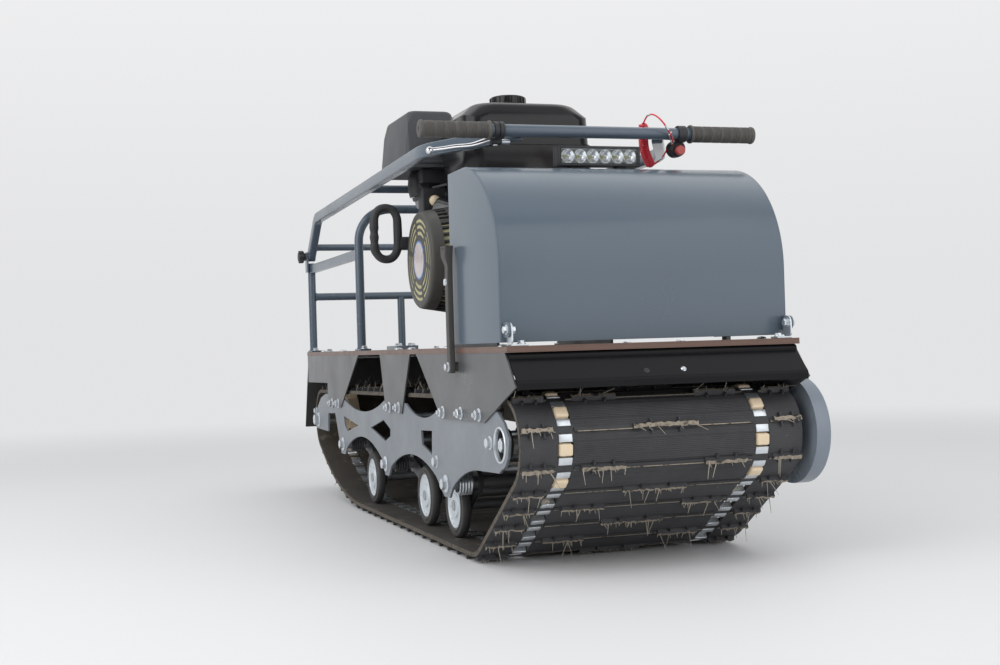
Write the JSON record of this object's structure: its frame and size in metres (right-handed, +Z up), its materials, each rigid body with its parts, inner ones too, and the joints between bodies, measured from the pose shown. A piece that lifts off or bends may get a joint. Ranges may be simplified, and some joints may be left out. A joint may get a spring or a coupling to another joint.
{
  "type": "tracked snow tug",
  "caption": "Walk-behind tracked snow tug: wide rubber track under a flat deck, mid-mounted engine, rounded tilting hood in front and a tiller folded forward over it.",
  "frame": {"origin": "on the ground under the middle of the machine", "axes": "+X forward to the hood, +Y to the machine's left, +Z up"},
  "size_m": [1.7991, 0.644, 0.883],
  "materials": {
    "track_rubber": "ribbed black rubber belt",
    "plywood": "brown film-faced plywood",
    "gloss_black": "gloss black powder coat",
    "satin_black": "satin dark grey powder coat",
    "satin_grey": "satin grey powder coat",
    "slate_paint": "gloss slate grey powder coat",
    "zinc": "zinc-plated steel",
    "polyamide": "cream polyamide",
    "wheel_rubber": "moulded grey-black rubber",
    "engine_metal": "cast aluminium",
    "engine_black": "black enamel",
    "black_plastic": "textured black plastic",
    "strap_rubber": "black rubber",
    "grip_rubber": "ribbed rubber",
    "lens": "clear lens",
    "polished": "polished aluminium",
    "cord_red": "red polyurethane cord"
  },
  "bodies": {
    "chassis": {"track": "track_rubber", "deck": "plywood", "front_panel": "gloss_black", "skirt_right": "satin_black", "skirt_left": "satin_black", "side_plate_right": "satin_grey", "side_plate_left": "satin_grey", "drive_axle": "zinc", "drive_bearings": "zinc", "idler_axle": "zinc", "drive_sprockets": "polyamide", "idler_sprockets": "polyamide", "pivot_axles": "zinc", "wheel_axles": "zinc", "suspension_arms_right": "satin_black", "suspension_arms_left": "satin_black", "wheel_tyres": "wheel_rubber", "wheel_discs": "zinc", "torsion_springs": "zinc", "drive_case": "slate_paint", "mud_flap": "strap_rubber", "tow_hitch": "slate_paint", "rack_posts": "slate_paint", "rack_crossbar": "slate_paint", "rack_arch": "slate_paint", "rack_rails": "slate_paint", "hinge_brackets": "zinc", "strap_latches": "strap_rubber", "engine_stand": "satin_black", "engine_block": "engine_metal", "fan_shroud": "engine_black", "recoil_cover": "black_plastic", "starter_handle": "black_plastic", "fuel_tank": "engine_black", "tank_cap": "black_plastic", "air_filter": "black_plastic", "carburettor": "engine_metal", "silencer": "engine_black"},
    "hood": {"hood": "slate_paint", "lamp_bar": "black_plastic", "lamp_lens": "lens"},
    "tiller": {"tiller_frame": "slate_paint", "handlebar": "slate_paint", "grips": "grip_rubber", "pivot_knobs": "black_plastic", "brake_lever": "polished", "stop_switch": "black_plastic", "lanyard_coil": "cord_red", "lanyard_lower_lead": "cord_red", "lanyard_upper_lead": "cord_red"}
  },
  "joints": [
    {"name": "hood_tilt", "type": "hinge", "parent": "chassis", "child": "hood", "pos_m": [0.85, 0, 0.398], "axis": [0, 1, 0], "range_deg": [0, 85]},
    {"name": "tiller_fold", "type": "hinge", "parent": "chassis", "child": "tiller", "pos_m": [-0.797, 0, 0.628], "axis": [0, -1, 0], "range_deg": [0, 155]}
  ]
}
